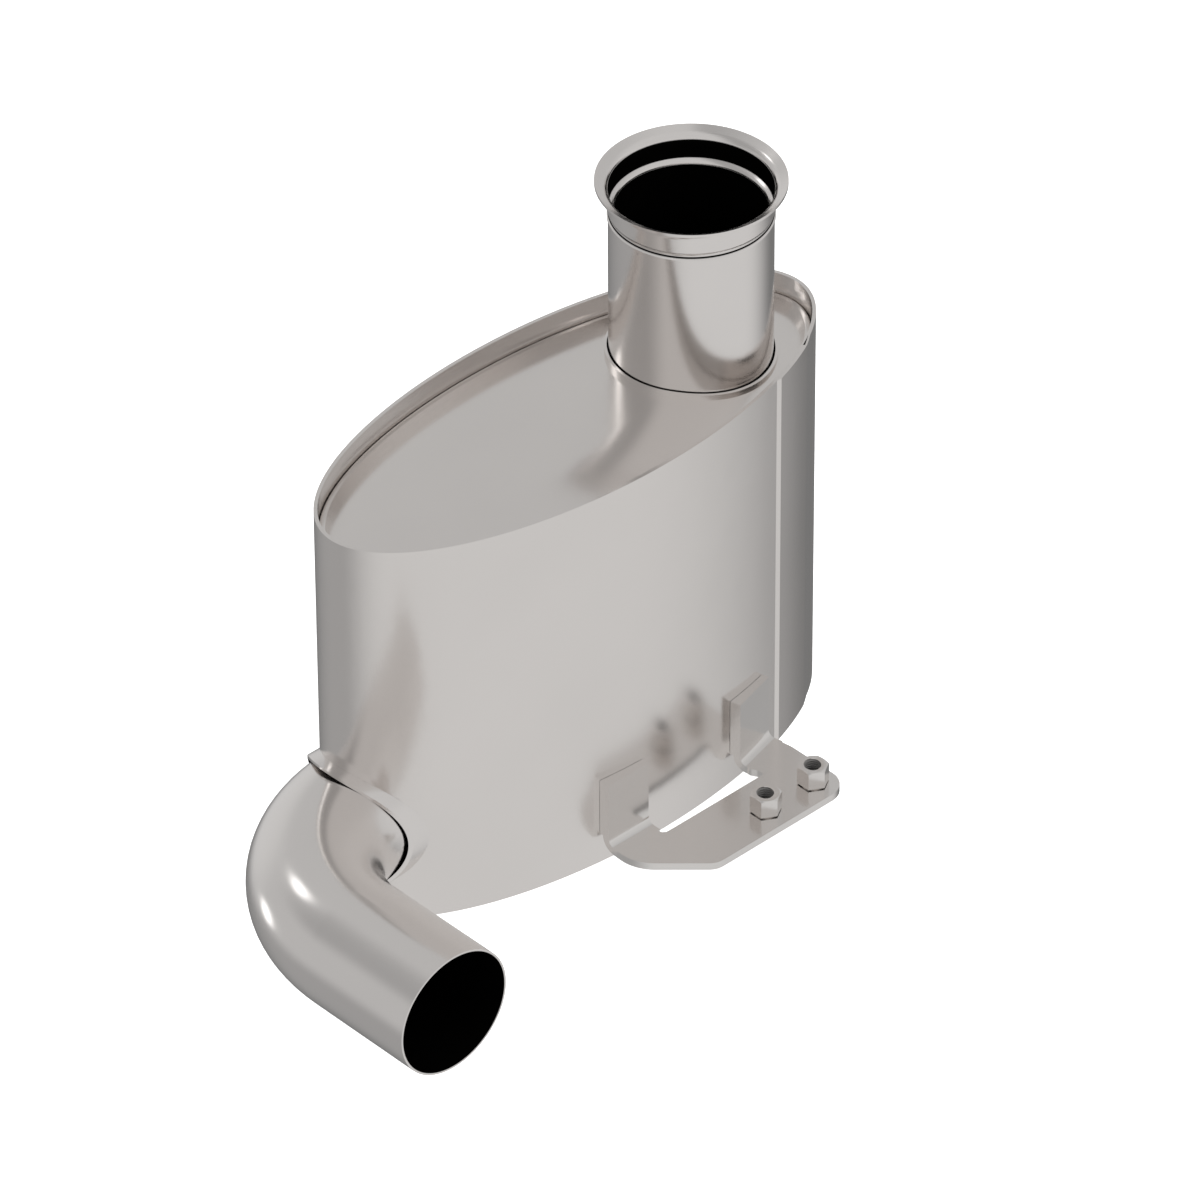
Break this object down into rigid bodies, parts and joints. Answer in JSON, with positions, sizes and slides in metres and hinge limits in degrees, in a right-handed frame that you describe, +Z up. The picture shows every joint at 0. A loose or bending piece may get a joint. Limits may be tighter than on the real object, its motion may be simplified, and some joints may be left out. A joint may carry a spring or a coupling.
{
  "type": "exhaust muffler",
  "caption": "Oval wrapped-shell exhaust muffler standing on its rim, with a top inlet pipe and clamp flange, a side outlet elbow and a bent mounting bracket with weld nuts.",
  "frame": {"origin": "middle of the whole part's box in plan, at the height of the shell's lower rim, on which it stands", "axes": "+X along the oval shell towards the inlet end, the longest way; -Y towards the bracket and the outlet's mouth, the shortest way; +Z up along the inlet pipe"},
  "size_m": [0.5914, 0.3108, 0.4705],
  "materials": {
    "stainless_sheet": "satin rolled stainless sheet",
    "stainless_pipe": "smooth satin tube",
    "stainless_flange": "satin, turned and rolled",
    "bracket_steel": "matt hot-rolled stainless plate",
    "nut_steel": "satin machined",
    "mineral_wool": "soft matted fibre"
  },
  "bodies": {
    "root": {"shell_inner_wrap": "stainless_sheet", "shell_outer_wrap": "stainless_sheet", "top_end_cap": "stainless_sheet", "bottom_end_cap": "stainless_sheet", "inlet_flange": "stainless_flange", "inlet_pipe": "stainless_pipe", "inlet_perforated_tube": "stainless_pipe", "upper_baffle": "stainless_sheet", "lower_baffle": "stainless_sheet", "transfer_tube_up": "stainless_pipe", "transfer_tube_down_front": "stainless_pipe", "transfer_tube_down_rear": "stainless_pipe", "outlet_elbow": "stainless_pipe", "outlet_perforated_tube": "stainless_pipe", "outlet_tube_support": "stainless_sheet", "outlet_wool_can": "stainless_sheet", "outlet_wool_packing": "mineral_wool", "outlet_collar": "stainless_pipe", "mounting_bracket": "bracket_steel", "weld_nut_near": "nut_steel", "weld_nut_far": "nut_steel"}
  },
  "joints": []
}
